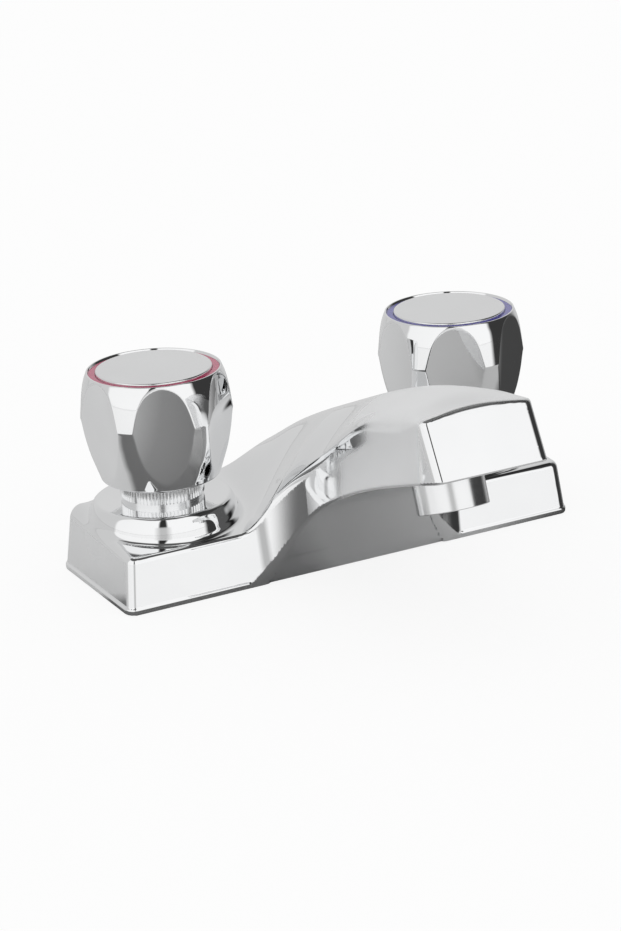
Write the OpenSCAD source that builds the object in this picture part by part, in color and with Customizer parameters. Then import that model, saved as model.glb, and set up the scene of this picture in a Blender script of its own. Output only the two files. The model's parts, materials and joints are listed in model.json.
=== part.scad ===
// Two-handle basin faucet with a cast spout body and round multi-turn handles.
// A hollow shell covers the brass waterway: two washer valves, link tubes, a tee and the spout tube.
// Millimetres. +Z is up, +X points to the cold side and -Y points to the user.
// The origin is the middle of the face that seats on the basin deck.

/* [Body] */
// Length of the body along the deck
body_length = 152.4; // [150:0.2:170]
// Depth of the body from front to back
body_depth = 50.8; // [50:0.2:60]
// Height of the top along the front edge
front_height = 16.5; // [14:0.1:18]
// Height of the top along the back edge
back_height = 22; // [20:0.1:23]
// Lean of the side faces from upright, in degrees
draft = 6; // [1:0.5:8]
// Wall thickness of the shell
wall = 2; // [1.4:0.1:2.6]
// Height of the foot rim round the body
rim_height = 2; // [1:0.1:3]
// Step from the foot rim in to the side faces
rim_step = 0.4; // [0.2:0.1:1]
// Radius of the body's upright corners
corner_r = 4; // [2:0.5:6]
// Radius of the end edges along the top, at the back
end_round = 5; // [2:0.5:7]

/* [Handle places] */
// Distance between the two handle axes
handle_spacing = 101.6; // [100:0.2:104]
// How far the handle axes lie behind the middle of the body
axis_setback = 2.4; // [1:0.1:3]
// Turn of the hot handle's front facet towards its own end, in degrees
hot_facet_angle = 19; // [0:1:59]
// Turn of the cold handle's front facet towards the hot end, in degrees
cold_facet_angle = 26; // [0:1:59]

/* [Bosses] */
// Height of the boss top above the deck
boss_top = 24.8; // [24:0.1:26]
// Radius of the flat on top of the boss
boss_top_r = 19.8; // [19:0.1:20.5]
// Radius of the boss where it meets the body
boss_base_r = 22.7; // [22:0.1:23]
// Thickness of the boss's top wall
boss_wall = 2.5; // [2:0.1:3]

/* [Spout] */
// Reach of the nose's lower edge in front of the middle of the body
spout_reach = 108; // [100:1:130]
// Height of the nose's lower edge above the deck
nose_bottom = 53; // [50:0.5:58]
// Height of the nose's face
nose_face = 17.4; // [15:0.2:20]
// Lean of the nose's face from upright, in degrees
nose_lean = 28; // [20:1:32]
// Width of the arm
arm_width = 36; // [34:0.5:40]
// Radius of the nose's upright edges
nose_round = 3; // [1.5:0.25:4]
// Height of the ridge above the deck at the back of the body
ridge_back = 26.8; // [25:0.1:29]
// Rise of the ridge's highest point over the nose's face
ridge_over = 1; // [0.5:0.1:2]
// Half-width of the wings where they leave the body's front
wing_half = 38; // [36:0.5:42]
// Length of the wings' sweep along the arm
wing_sweep = 24.6; // [22:0.2:30]
// Drop of the crown from the arm's middle to its foot lines at the nose
nose_crown = 5; // [3:0.5:7]
// Thickness of the underside panel
panel_t = 1.5; // [1:0.1:2]
// Inset of the underside panel from the shell's lower lip
panel_inset = 0.8; // [0.5:0.1:1.5]

/* [Outlet] */
// Outer radius of the outlet collar
outlet_r = 10.4; // [10:0.1:11.5]
// Wall thickness of the outlet collar
outlet_wall = 1.6; // [1.2:0.1:2]
// Length of the outlet collar below the lip
outlet_length = 9.6; // [7:0.1:12]
// Distance of the outlet axis behind the nose's lower edge
outlet_setback = 26.6; // [22:0.2:30]
// Outer radius of the spout tube
spout_tube_r = 6; // [5:0.1:6.4]
// Wall thickness of the copper tubes
tube_wall = 0.9; // [0.7:0.1:1.2]
// Bend radius of the spout tube at its foot
foot_bend = 14; // [12:1:16]
// Bend radius of the spout tube over the outlet
nose_bend = 8.5; // [8:0.5:9]

/* [Valves] */
// Thickness of the deck gasket
gasket_t = 2; // [1.5:0.1:2.5]
// Radius of the valve body's foot flange
foot_flange_r = 15; // [14:0.5:16]
// Thickness of the valve body's foot flange
foot_flange_t = 2.5; // [2:0.1:3]
// Radius of the valve body's barrel
barrel_r = 12.6; // [12:0.1:13]
// Radius of the threaded neck
neck_r = 11; // [10.6:0.1:11.2]
// Height of the neck's top above the boss
neck_rise = 6.2; // [5:0.1:7]
// Outer radius of the link tubes to the tee
link_r = 4.5; // [4:0.1:4.8]
// Radius of the valve chamber
chamber_r = 8.6; // [8.4:0.1:8.8]
// Height of the valve seat above the deck
seat_height = 9; // [8:0.1:9.5]
// Radius of the water way through the seat
seat_way_r = 4.8; // [4:0.1:5]
// Lift of the washer from closed to fully open
lift = 3; // [2:0.1:3.2]
// Thickness of the seat washer
washer_t = 3; // [2.5:0.1:3.2]
// Radius of the seat washer
washer_r = 6.8; // [6.4:0.1:7]
// Thickness of the jumper's plate
plate_t = 2; // [1.5:0.1:2.2]
// Corner radius of the jumper's hexagon
hex_r = 5.4; // [5.2:0.1:5.6]
// Radius of the spindle's thread
thread_r = 3.5; // [3.2:0.1:3.6]
// Radius of the spindle
spindle_r = 4; // [3.8:0.1:4.2]
// Radius of the spindle's thrust collar
thrust_r = 4.7; // [4.6:0.05:4.8]
// Running clearance of the spindle, on the radius
run_gap = 0.05; // [0.02:0.01:0.09]
// Sliding clearance of the jumper's hexagon
hex_gap = 0.2; // [0.12:0.02:0.3]

/* [Shanks] */
// Radius of the threaded supply shanks
shank_r = 10.4; // [10:0.1:10.5]
// Length of the shanks below the deck face
shank_length = 48; // [42:1:60]
// Radius of the water way in the shanks
shank_bore_r = 7; // [6:0.1:7.5]
// Radius of the plain lead at the shank's end
lead_r = 10; // [9.6:0.1:10]
// Length of the plain lead at the shank's end
lead_length = 12; // [10:1:14]
// Clear deck thickness between gasket and shank washer
deck_grip = 22; // [16:1:24]
// Outer radius of the shank washer
shank_washer_r = 17; // [15:0.5:19]
// Thickness of the shank washer
shank_washer_t = 1.6; // [1:0.1:2]
// Corner radius of the shank nut
shank_nut_r = 16.5; // [15:0.5:18]
// Height of the shank nut
shank_nut_h = 7; // [6:0.5:8]

/* [Locknuts] */
// Radius over the serrations of the locknut
locknut_r = 12.64; // [12.5:0.02:12.8]
// Height of the locknut's plain lower band
band_height = 1.2; // [0.8:0.1:1.6]
// Step from the serrations in to the plain band
band_step = 0.34; // [0.2:0.02:0.5]
// Height of the locknut
locknut_height = 7.4; // [7:0.1:8]
// Number of serrations
serrations = 72; // [48:1:90]
// Depth of the serrations
serration_depth = 0.45; // [0.3:0.05:0.6]

/* [Handles] */
// Height of the handle's lower edge above the boss
handle_gap = 6.4; // [6.2:0.1:7]
// Height of the handle from lower edge to rim
handle_height = 33.8; // [32:0.2:38]
// Radius of the handle at its widest
handle_r = 22.8; // [22:0.1:24]
// Height of the widest ring above the lower edge
belly_height = 20.2; // [18:0.1:22]
// Radius of the handle's lower edge
handle_foot_r = 17.6; // [17:0.1:18.5]
// Radius of the handle's top rim
rim_r = 20.3; // [19.9:0.1:21]
// Number of scooped facets
facets = 6; // [5:1:8]
// Radius of the scoop that cuts each facet
scoop_r = 42; // [30:1:60]
// Distance from the axis to a facet's middle at its lower tip
scoop_foot = 18.2; // [18:0.1:18.8]
// Lean of the facets outwards, in degrees
scoop_lean = 4; // [2:0.25:5]
// Radius of the opening under the handle
handle_mouth_r = 13.4; // [13.2:0.1:14]
// Least wall of the handle behind a facet
handle_wall = 2.2; // [1.6:0.1:2.6]
// Radius of the handle's hub
hub_r = 7.5; // [6.5:0.1:8]
// Depth of the recess for the ring and the cap
recess_depth = 2.2; // [1.8:0.1:3]
// Thin wall of the rim round the recess
rim_wall = 0.6; // [0.5:0.1:1]
// Radius of the cap disc
cap_r = 17.4; // [16:0.1:18]
// Rise of the cap disc over the handle's rim
cap_rise = 0.3; // [0.1:0.1:0.8]
// Height of the coloured index ring
ring_height = 1.5; // [1:0.1:1.8]
// Radius of the handle screw
screw_r = 2; // [1.8:0.1:2.2]
// Radius of the handle screw's head
screw_head_r = 3.8; // [3.5:0.1:4]

/* [Hidden] */
$fn = 96;

chrome = [0.80, 0.81, 0.83];
brass = [0.78, 0.62, 0.32];
copper = [0.80, 0.48, 0.33];
rubber = [0.12, 0.12, 0.13];

// Clearance between pieces that only touch
seat_gap = 0.1;
fit_gap = 0.05;

// Depth that the hollow form reaches below the arm's lip
cavity_drop = 8;

// Side planes of the body
half_l = body_length / 2;
half_d = body_depth / 2;
lean = tan(draft);
axis_x = handle_spacing / 2;
axis_y = axis_setback;
front_y = -half_d + rim_step;
back_y = half_d - rim_step;
end_x = half_l - rim_step;

// Spout reference points
arm_half = arm_width / 2;
nose_t = tan(nose_lean);
nose_top = nose_bottom + nose_face;
nose_top_y = -spout_reach + nose_face * nose_t;
ridge_top = nose_top + ridge_over;
sweep_y = front_y - wing_sweep;
sweep_x = wing_half - arm_half;

// Lines along the spout as pairs of share of the way and share of the rise
ridge_line = [[0, 0], [0.18, 0.28], [0.43, 0.575], [0.72, 0.88], [0.91, 1], [1, 0.97]];
cove_line = [[0, 0], [0.02, 0.11], [0.067, 0.27], [0.137, 0.428], [0.234, 0.546],
    [0.457, 0.712], [0.748, 0.876], [1, 1]];
valley_line = [[0, 0], [0.2, 0.01], [0.36, 0.30], [0.5, 0.53], [0.66, 0.68], [1, 1]];
foot_line = [[0, 0.59], [0.3, 0.62], [0.66, 0.71], [0.91, 0.9], [1, 1]];

// Smooth curve through the pairs of a table, read at one place
function seg(t, s, i = 0) = (i < len(t) - 2 && s > t[i + 1][0]) ? seg(t, s, i + 1) : i;
function rate(t, i) =
    let (a = t[max(i - 1, 0)], b = t[min(i + 1, len(t) - 1)])
    (b[1] - a[1]) / (b[0] - a[0]);
function along(t, s) =
    let (i = seg(t, s), a = t[i], b = t[i + 1], h = b[0] - a[0], u = (s - a[0]) / h)
    a[1] * (2 * u ^ 3 - 3 * u ^ 2 + 1) + rate(t, i) * h * (u ^ 3 - 2 * u ^ 2 + u)
    + b[1] * (3 * u ^ 2 - 2 * u ^ 3) + rate(t, i + 1) * h * (u ^ 3 - u ^ 2);
function clip(v) = min(max(v, 0), 1);
function mix(a, b, s) = a + (b - a) * s;

// Height of the flat top of the body, the ridge, the foot lines and the lower lip
function deck_z(y) = mix(back_height, front_height, (half_d - y) / body_depth);
function ridge_z(y) =
    mix(ridge_back, ridge_top, along(ridge_line, clip((half_d - y) / (half_d - nose_top_y))));
function valley_z(y) = y > -half_d ? deck_z(y)
    : mix(front_height, nose_top - nose_crown,
        along(valley_line, clip((-half_d - y) / (-half_d - nose_top_y))));
function cove_z(y) =
    nose_bottom * along(cove_line, clip((front_y - y) / (front_y + spout_reach)));
function foot_half(y) = (wing_half + 3) * along(foot_line, clip((half_d - y) / body_depth));

// Height of the outer skin over a point, and of the inner skin below it
function bell(u) = u < 1 ? (1 - u ^ 2) ^ 2 : 0;
function top_z(x, y) = mix(valley_z(y), ridge_z(y), bell(abs(x) / foot_half(y)));
function skin_z(x, y, inset) = inset == 0 ? top_z(x, y)
    : let (gx = top_z(x + 0.5, y) - top_z(x - 0.5, y), gy = top_z(x, y + 0.5) - top_z(x, y - 0.5))
    top_z(x, y) - inset * sqrt(1 + gx ^ 2 + gy ^ 2);

// A point of the skin on a plane that leans by t from the line at y, z
function skin_point(x, y, z, t, inset) =
    let (y0 = y + (skin_z(x, y, inset) - z) * t, y1 = y + (skin_z(x, y0, inset) - z) * t)
    [x, y + (skin_z(x, y1, inset) - z) * t, skin_z(x, y1, inset)];

// Sections of the body: end face, rounded end edge, top and hump, from left to right
base_steps = 10;
round_steps = 4;
crown_steps = 26;
end_steps = 2;
function side_points(v, inset, floor_z) =
    let (y = mix(back_y - inset, front_y + inset, v),
        t = mix(-lean, lean, v),
        r = max(mix(end_round, end_round / 4, v) - inset, 0.4),
        top_y = y + front_height * t,
        z = skin_z(half_l, top_y, inset),
        x = end_x - inset - lean * z)
    concat([[-(end_x - inset - lean * floor_z), y + floor_z * t, floor_z]],
        [for (k = [0:round_steps]) let (a = 90 * k / round_steps,
            px = -(x - r * (1 - cos(a))), pz = z - r * (1 - sin(a)))
            [px, y + pz * t, pz]],
        [for (k = [1:end_steps]) let (px = -mix(x - r, wing_half, k / (end_steps + 1)))
            skin_point(px, y, 0, t, inset)]);
function flip(points) = [for (k = [len(points) - 1:-1:0])
    [-points[k][0], points[k][1], points[k][2]]];
function crown_points(half, y, z, t, inset) =
    [for (k = [0:crown_steps]) skin_point(mix(-half, half, k / crown_steps), y, z, t, inset)];
function base_ring(v, inset, floor_z) =
    let (s = side_points(v, inset, floor_z), y = mix(back_y - inset, front_y + inset, v))
    concat(s, crown_points(wing_half, y, 0, mix(-lean, lean, v), inset), flip(s));

// Stations along the arm: half-width, lip line and lean of the section
sweep_steps = 10;
arm_steps = 12;
nose_steps = 4;
function sweep_station(k, inset) =
    let (a = 90 * k / sweep_steps)
    [wing_half - (sweep_x + inset) * sin(a), sweep_y + (wing_sweep + inset) * cos(a),
        lean * cos(a) ^ 2];
function arm_station(k, inset) =
    let (s = k / arm_steps, stop = -spout_reach + inset + nose_round)
    [arm_half - inset, mix(sweep_y, stop, s), nose_t * s ^ 1.5];
function nose_station(k, inset) =
    let (a = 90 * k / nose_steps, r = max(nose_round - inset, 0.5))
    [arm_half - inset - r * (1 - cos(a)), -spout_reach + inset + nose_round - nose_round * sin(a),
        nose_t];
function stations(inset) = concat(
    [for (k = [0:sweep_steps]) sweep_station(k, inset)],
    [for (k = [1:arm_steps]) arm_station(k, inset)],
    [for (k = [1:nose_steps]) nose_station(k, inset)]);
function arm_ring(st, inset, lip_drop) =
    let (z = cove_z(st[1]), low = z - lip_drop, low_y = st[1] - lip_drop * st[2])
    concat([[-st[0], low_y, low]],
        crown_points(st[0], st[1], z, st[2], inset),
        [[st[0], low_y, low]]);

// One closed form of body and arm: inset 0 is the outer skin, inset wall is the hollow
module spout_form(inset, floor_z, lip_drop) {
    st = stations(inset);
    side_n = round_steps + end_steps + 2;
    ring_n = 2 * side_n + crown_steps + 1;
    arm_n = crown_steps + 3;
    base = [for (i = [0:base_steps]) each base_ring(i / base_steps, inset, floor_z)];
    first = base_steps * ring_n;
    lips = [[-wing_half, front_y + inset + floor_z * lean, floor_z],
        [wing_half, front_y + inset + floor_z * lean, floor_z]];
    arm = [for (i = [1:len(st) - 1]) each arm_ring(st[i], inset, lip_drop)];
    lip_at = len(base);
    arm_at = lip_at + 2;
    last = arm_at + (len(st) - 2) * arm_n;
    hub = last + arm_n;
    hub_z = front_height / 2;
    hubs = [[0, back_y - inset - hub_z * lean, hub_z], [0, 0, floor_z]];
    function id(i, k) = i > 0 ? arm_at + (i - 1) * arm_n + k
        : k == 0 ? lip_at : k == arm_n - 1 ? lip_at + 1 : first + side_n + k - 1;
    skin = [for (i = [0:base_steps - 1]) for (k = [0:ring_n - 2])
        let (a = i * ring_n + k, b = a + ring_n) each [[a, a + 1, b], [b, a + 1, b + 1]]];
    arm_skin = [for (i = [0:len(st) - 2]) for (k = [0:arm_n - 2])
        each [[id(i, k), id(i, k + 1), id(i + 1, k)],
            [id(i + 1, k), id(i, k + 1), id(i + 1, k + 1)]]];
    under = [for (i = [0:len(st) - 2])
        [id(i, 0), id(i + 1, 0), id(i + 1, arm_n - 1), id(i, arm_n - 1)]];
    back = [for (k = [0:ring_n - 1]) [hub, (k + 1) % ring_n, k]];
    left = [concat([for (k = [0:side_n]) first + k], [lip_at])];
    right = [concat([lip_at + 1], [for (k = [side_n + crown_steps:ring_n - 1]) first + k])];
    edge = concat([for (i = [0:base_steps]) i * ring_n], [lip_at, lip_at + 1],
        [for (i = [base_steps:-1:0]) i * ring_n + ring_n - 1]);
    floor_face = [for (k = [0:len(edge) - 1]) [hub + 1, edge[k], edge[(k + 1) % len(edge)]]];
    nose = [[for (k = [0:arm_n - 1]) last + k]];
    polyhedron(concat(base, lips, arm, hubs),
        concat(skin, arm_skin, under, back, left, right, floor_face, nose), convexity = 8);
}

// Flat plate with round corners, centred, cut from bars and cylinders
module round_plate(l, d, r, h) {
    cube_at(l - 2 * r, d, h);
    cube_at(l, d - 2 * r, h);
    for (x = [-1, 1], y = [-1, 1])
        translate([x * (l / 2 - r), y * (d / 2 - r), 0]) cylinder(r = r, h = h);
}
module cube_at(l, d, h) {
    translate([-l / 2, -d / 2, 0]) cube([l, d, h]);
}
module at_axis(side) {
    translate([side * axis_x, axis_y, 0]) children();
}
module ring(r_out, r_in, z0, z1) {
    rotate_extrude() polygon([[r_in, z0], [r_out, z0], [r_out, z1], [r_in, z1]]);
}

// Boss with a flank that bulges a little, carried down the back face to the foot rim
boss_steps = 4;
module boss() {
    rise = boss_top - front_height;
    rotate_extrude() polygon(concat([[0, rim_height], [boss_base_r, rim_height]],
        [for (k = [0:boss_steps]) let (a = 90 * k / boss_steps)
            [mix(boss_top_r, boss_base_r, cos(a)), mix(front_height, boss_top, sin(a))]],
        [[0, boss_top]]));
}

module body_shell() {
    color(chrome) difference() {
        union() {
            spout_form(0, 0, 0);
            round_plate(body_length, body_depth, corner_r, rim_height);
            for (side = [-1, 1]) at_axis(side) boss();
        }
        spout_form(wall, -1, cavity_drop);
        translate([-wing_half + wall, -half_d - 1, -1])
            cube([2 * (wing_half - wall), rim_step + wall + 1, rim_height + 1]);
        for (side = [-1, 1]) at_axis(side) {
            translate([0, 0, -1]) cylinder(r = boss_top_r - wall, h = boss_top - boss_wall + 1);
            cylinder(r = neck_r + seat_gap, h = boss_top + 1);
        }
    }
}

// Gasket that fills the foot rim, with holes for the shanks
gasket_inset = rim_step + wall + fit_gap;
module deck_gasket() {
    color(rubber) difference() {
        round_plate(body_length - 2 * gasket_inset - 2 * lean * gasket_t,
            body_depth - 2 * gasket_inset - 2 * lean * gasket_t, corner_r / 2, gasket_t);
        for (side = [-1, 1]) at_axis(side)
            translate([0, 0, -1]) cylinder(r = shank_r + fit_gap, h = gasket_t + 2);
    }
}

// Underside panel: a strip along the lip line, inset by a step, that closes the spout
function cove_rate(y) = (cove_z(y - 0.2) - cove_z(y + 0.2)) / 0.4;
function cove_off(y, d) = let (m = cove_rate(y), n = sqrt(1 + m ^ 2))
    [y + d * m / n, max(cove_z(y) + d / n, 0)];
panel_steps = 22;
panel_start = front_y - 0.3;
panel_stop = -spout_reach + wall + nose_round + panel_inset;
function panel_y(k) = mix(panel_start, panel_stop, (k / panel_steps) ^ 1.7);
module panel_strip() {
    low = [for (k = [0:panel_steps]) cove_off(panel_y(k), panel_inset)];
    high = [for (k = [panel_steps:-1:0]) cove_off(panel_y(k), panel_inset + panel_t)];
    polygon(concat([[low[0][0], 0]], low, high, [[high[panel_steps][0], 0]]));
}
outlet_y = -spout_reach + outlet_setback;
outlet_tilt = atan(cove_rate(outlet_y));
module at_outlet() {
    translate([0, outlet_y, cove_z(outlet_y)]) rotate([-outlet_tilt, 0, 0]) children();
}
module spout_underside() {
    color(chrome) difference() {
        intersection() {
            rotate([90, 0, 90]) translate([0, 0, -wing_half])
                linear_extrude(2 * wing_half) panel_strip();
            spout_form(wall + fit_gap, -1, cavity_drop);
        }
        at_outlet() translate([0, 0, -outlet_length])
            cylinder(r = outlet_r + fit_gap, h = 2 * outlet_length);
    }
}

// Outlet collar with the aerator held in its mouth
collar_top = panel_inset + panel_t + 3;
aerator_seat = -outlet_length + 7.5;
module outlet_collar() {
    color(chrome) at_outlet() rotate_extrude() polygon([
        [outlet_r - outlet_wall, -outlet_length], [outlet_r, -outlet_length],
        [outlet_r, collar_top], [spout_tube_r + fit_gap, collar_top],
        [spout_tube_r + fit_gap, collar_top - 3.5],
        [outlet_r - outlet_wall, aerator_seat]]);
}
insert_r = outlet_r - outlet_wall - fit_gap;
insert_h = 5;
insert_recess = 0.8;
mesh_bar = 0.7;
mesh_count = 5;
module aerator_insert() {
    mesh_pitch = 2 * insert_r / (mesh_count + 1);
    color("white") at_outlet() translate([0, 0, -outlet_length + insert_recess]) {
        ring(insert_r, insert_r - 1.2, 0, insert_h);
        intersection() {
            cylinder(r = insert_r - 1, h = 1.6);
            union() for (k = [1:mesh_count]) {
                translate([-insert_r, -insert_r + k * mesh_pitch - mesh_bar / 2, 0])
                    cube([2 * insert_r, mesh_bar, 1.6]);
                translate([-insert_r + k * mesh_pitch - mesh_bar / 2, -insert_r, 0])
                    cube([mesh_bar, 2 * insert_r, 1.6]);
            }
        }
    }
}
module aerator_washer() {
    z0 = -outlet_length + insert_recess + insert_h;
    color(rubber) at_outlet() ring(insert_r, insert_r - 2.4, z0, aerator_seat);
}

// Bent tube in the plane x = 0: straight runs joined by round bends
function unit(v) = v / norm(v);
function turn_at(p, q, r) = acos(unit(q - p) * unit(r - q));
function setback_at(p, q, r, bend) = bend * tan(turn_at(p, q, r) / 2);
bend_swell = 0.04;
bend_lap = 0.4;
module rod(p, q, r, lap0, lap1) {
    d = q - p;
    translate([0, p[0], p[1]]) rotate([atan2(-d[0], d[1]), 0, 0])
        translate([0, 0, -lap0]) cylinder(r = r, h = norm(d) + lap0 + lap1);
}
module elbow(p, q, s, bend, r) {
    a = unit(q - p);
    b = unit(s - q);
    turn = turn_at(p, q, s);
    side = a[0] * b[1] - a[1] * b[0] > 0 ? 1 : -1;
    start = q - a * setback_at(p, q, s, bend);
    centre = start + side * bend * [-a[1], a[0]];
    first = atan2(start[1] - centre[1], start[0] - centre[0]);
    translate([0, centre[0], centre[1]]) rotate([90, 0, 90])
        rotate([0, 0, side > 0 ? first : first - turn])
        rotate_extrude(angle = turn) translate([bend, 0]) circle(r = r + bend_swell);
}
tee_z = seat_height + 3.5;
tee_top = tee_z + 7.5;
tube_foot = [axis_y, tee_top - 4];
tube_knee = [axis_y, tee_top + 9.8];
function outlet_point(h) = [outlet_y + h * sin(outlet_tilt), cove_z(outlet_y) + h * cos(outlet_tilt)];
tube_peak = outlet_point(collar_top + 11);
tube_end = outlet_point(collar_top - 3);
module tube_run(r, over) {
    k = setback_at(tube_foot, tube_knee, tube_peak, foot_bend);
    n = setback_at(tube_knee, tube_peak, tube_end, nose_bend);
    way = unit(tube_peak - tube_knee);
    drop = unit(tube_end - tube_peak);
    rod(tube_foot, tube_knee - unit(tube_knee - tube_foot) * k, r, over, bend_lap);
    elbow(tube_foot, tube_knee, tube_peak, foot_bend, r);
    rod(tube_knee + way * k, tube_peak - way * n, r, bend_lap, bend_lap);
    elbow(tube_knee, tube_peak, tube_end, nose_bend, r);
    rod(tube_peak + drop * n, tube_end, r, bend_lap, over);
}
module spout_tube() {
    color(copper) difference() {
        tube_run(spout_tube_r, 0);
        tube_run(spout_tube_r - tube_wall, 1);
    }
}

// Tee and link tubes between the two valve bodies
tee_r = 9;
tee_half = 12;
link_reach = axis_x - barrel_r - 4;
socket = 4;
module mixing_tee() {
    color(brass) translate([0, axis_y, 0]) difference() {
        union() {
            translate([0, 0, tee_z - tee_r + 1.5]) cylinder(r = tee_r, h = tee_top - tee_z + tee_r - 1.5);
            translate([-tee_half, 0, tee_z]) rotate([0, 90, 0]) cylinder(r = 7, h = 2 * tee_half);
        }
        translate([-tee_half - 1, 0, tee_z]) rotate([0, 90, 0])
            cylinder(r = link_r - tube_wall, h = 2 * tee_half + 2);
        for (side = [-1, 1]) translate([side * tee_half, 0, tee_z]) rotate([0, -90 * side, 0])
            translate([0, 0, -1]) cylinder(r = link_r + fit_gap, h = socket + 1);
        translate([0, 0, tee_z]) cylinder(r = spout_tube_r - tube_wall, h = tee_top);
        translate([0, 0, tube_foot[1] - fit_gap]) cylinder(r = spout_tube_r + fit_gap, h = tee_top);
    }
}
module link_tube(side) {
    near = tee_half - socket + fit_gap;
    far = link_reach + socket - fit_gap;
    color(copper) translate([side * near, axis_y, tee_z]) rotate([0, 90 * side, 0]) difference() {
        cylinder(r = link_r, h = far - near);
        translate([0, 0, -1]) cylinder(r = link_r - tube_wall, h = far - near + 2);
    }
}
module hot_link_tube() { link_tube(-1); }
module cold_link_tube() { link_tube(1); }

// Heights in the valve, from the seat upwards
shoulder_z = boss_top - boss_wall;
neck_top = boss_top + neck_rise;
plate_z = seat_height + washer_t;
jumper_z = plate_z + plate_t;
sleeve_z = jumper_z + lift + 0.5;
thrust_z = neck_top - 2;
jumper_top = thrust_z - lift - 0.8;
jumper_bore_z = jumper_z + 1;
thread_end_z = jumper_bore_z + lift + 0.5;
gland_top = neck_top + 9;
spindle_top = boss_top + handle_gap + handle_height - 11;
seat_ring_r = seat_way_r + 1.4;
module valve_body(side) {
    at_axis(side) color(brass) difference() {
        union() {
            rotate_extrude() polygon([[0, -shank_length], [lead_r, -shank_length],
                [lead_r, -shank_length + lead_length], [shank_r, -shank_length + lead_length],
                [shank_r, gasket_t], [foot_flange_r, gasket_t],
                [foot_flange_r, gasket_t + foot_flange_t], [barrel_r, gasket_t + foot_flange_t],
                [barrel_r, shoulder_z], [neck_r, shoulder_z], [neck_r, neck_top], [0, neck_top]]);
            translate([0, 0, tee_z]) rotate([0, -90 * side, 0]) cylinder(r = 7, h = barrel_r + 4);
        }
        translate([0, 0, -shank_length - 1]) cylinder(r = shank_bore_r, h = shank_length - 1);
        translate([0, 0, -3]) cylinder(r = seat_way_r, h = seat_height + 4);
        difference() {
            translate([0, 0, seat_height - 1.2]) cylinder(r = chamber_r, h = neck_top);
            ring(seat_ring_r, seat_way_r, 0, seat_height);
        }
        translate([-side * (chamber_r - 1), 0, tee_z]) rotate([0, -90 * side, 0])
            cylinder(r = link_r - tube_wall, h = axis_x);
        translate([-side * (barrel_r + 4 - socket), 0, tee_z]) rotate([0, -90 * side, 0])
            cylinder(r = link_r + fit_gap, h = axis_x);
    }
}
module hot_valve_body() { valve_body(-1); }
module cold_valve_body() { valve_body(1); }

module shank_washer(side) {
    at_axis(side) color(rubber)
        ring(shank_washer_r, shank_r + seat_gap, -deck_grip - shank_washer_t, -deck_grip);
}
module hot_shank_washer() { shank_washer(-1); }
module cold_shank_washer() { shank_washer(1); }

module shank_nut(side) {
    z1 = -deck_grip - shank_washer_t;
    at_axis(side) color(brass) difference() {
        intersection() {
            translate([0, 0, z1 - shank_nut_h]) cylinder(r = shank_nut_r, h = shank_nut_h, $fn = 6);
            rotate_extrude() polygon([[0, z1 - shank_nut_h], [shank_nut_r - 1.6, z1 - shank_nut_h],
                [shank_nut_r, z1 - shank_nut_h + 1.2], [shank_nut_r, z1 - 1.2],
                [shank_nut_r - 1.6, z1], [0, z1]]);
        }
        translate([0, 0, z1 - shank_nut_h - 1]) cylinder(r = shank_r + fit_gap, h = shank_nut_h + 2);
    }
}
module hot_shank_nut() { shank_nut(-1); }
module cold_shank_nut() { shank_nut(1); }

// Serrated locknut that clamps the shell on the valve body
module locknut(side) {
    valley_r = locknut_r - serration_depth;
    at_axis(side) color(chrome) difference() {
        union() {
            translate([0, 0, boss_top]) cylinder(r = locknut_r - band_step, h = locknut_height);
            translate([0, 0, boss_top + band_height])
                linear_extrude(locknut_height - band_height) polygon([for (k = [0:serrations - 1])
                    for (s = [0, 1]) let (a = 360 * (k + s * 0.5) / serrations,
                        r = s == 0 ? locknut_r : valley_r) [r * cos(a), r * sin(a)]]);
        }
        translate([0, 0, boss_top - 1]) cylinder(r = neck_r + fit_gap, h = locknut_height + 2);
    }
}
module hot_locknut() { locknut(-1); }
module cold_locknut() { locknut(1); }

// Headwork: sleeve screwed into the neck, hexagon on top and a gland for the spindle
headwork_flange = 3;
gland_r = 7;
module headwork(side) {
    at_axis(side) color(brass) difference() {
        union() {
            translate([0, 0, sleeve_z]) cylinder(r = chamber_r - fit_gap, h = neck_top - sleeve_z + 1);
            translate([0, 0, neck_top]) cylinder(r = neck_r - 0.4, h = headwork_flange, $fn = 6);
            translate([0, 0, neck_top]) cylinder(r = gland_r, h = gland_top - neck_top);
        }
        translate([0, 0, sleeve_z - 1])
            cylinder(r = hex_r + hex_gap, h = neck_top + seat_gap - sleeve_z + 1, $fn = 6);
        translate([0, 0, sleeve_z]) cylinder(r = spindle_r + run_gap, h = gland_top);
    }
}
module hot_headwork() { headwork(-1); }
module cold_headwork() { headwork(1); }

// Spindle: thread in the jumper, thrust collar, seal groove and splined end
spline_r = spindle_r - 0.3;
splines = 16;
seal_z = neck_top + 4;
seal_h = 2;
seal_depth = 0.9;
screw_depth = 9;
module spindle(side) {
    at_axis(side) color(brass) difference() {
        union() {
            translate([0, 0, thread_end_z]) cylinder(r = thread_r, h = thrust_z - thread_end_z + 1);
            translate([0, 0, thrust_z]) cylinder(r = thrust_r, h = neck_top - thrust_z);
            translate([0, 0, neck_top - 1]) cylinder(r = spindle_r, h = gland_top + 1.5 - neck_top);
            translate([0, 0, gland_top]) linear_extrude(spindle_top - gland_top)
                polygon([for (k = [0:splines - 1]) for (s = [0, 1])
                    let (a = 360 * (k + s * 0.5) / splines, r = spline_r - s * 0.5)
                        [r * cos(a), r * sin(a)]]);
        }
        ring(spindle_r + 1, spindle_r - seal_depth, seal_z, seal_z + seal_h);
        translate([0, 0, spindle_top - screw_depth]) cylinder(r = screw_r + fit_gap, h = screw_depth + 1);
    }
}
module hot_spindle() { spindle(-1); }
module cold_spindle() { spindle(1); }

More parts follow.
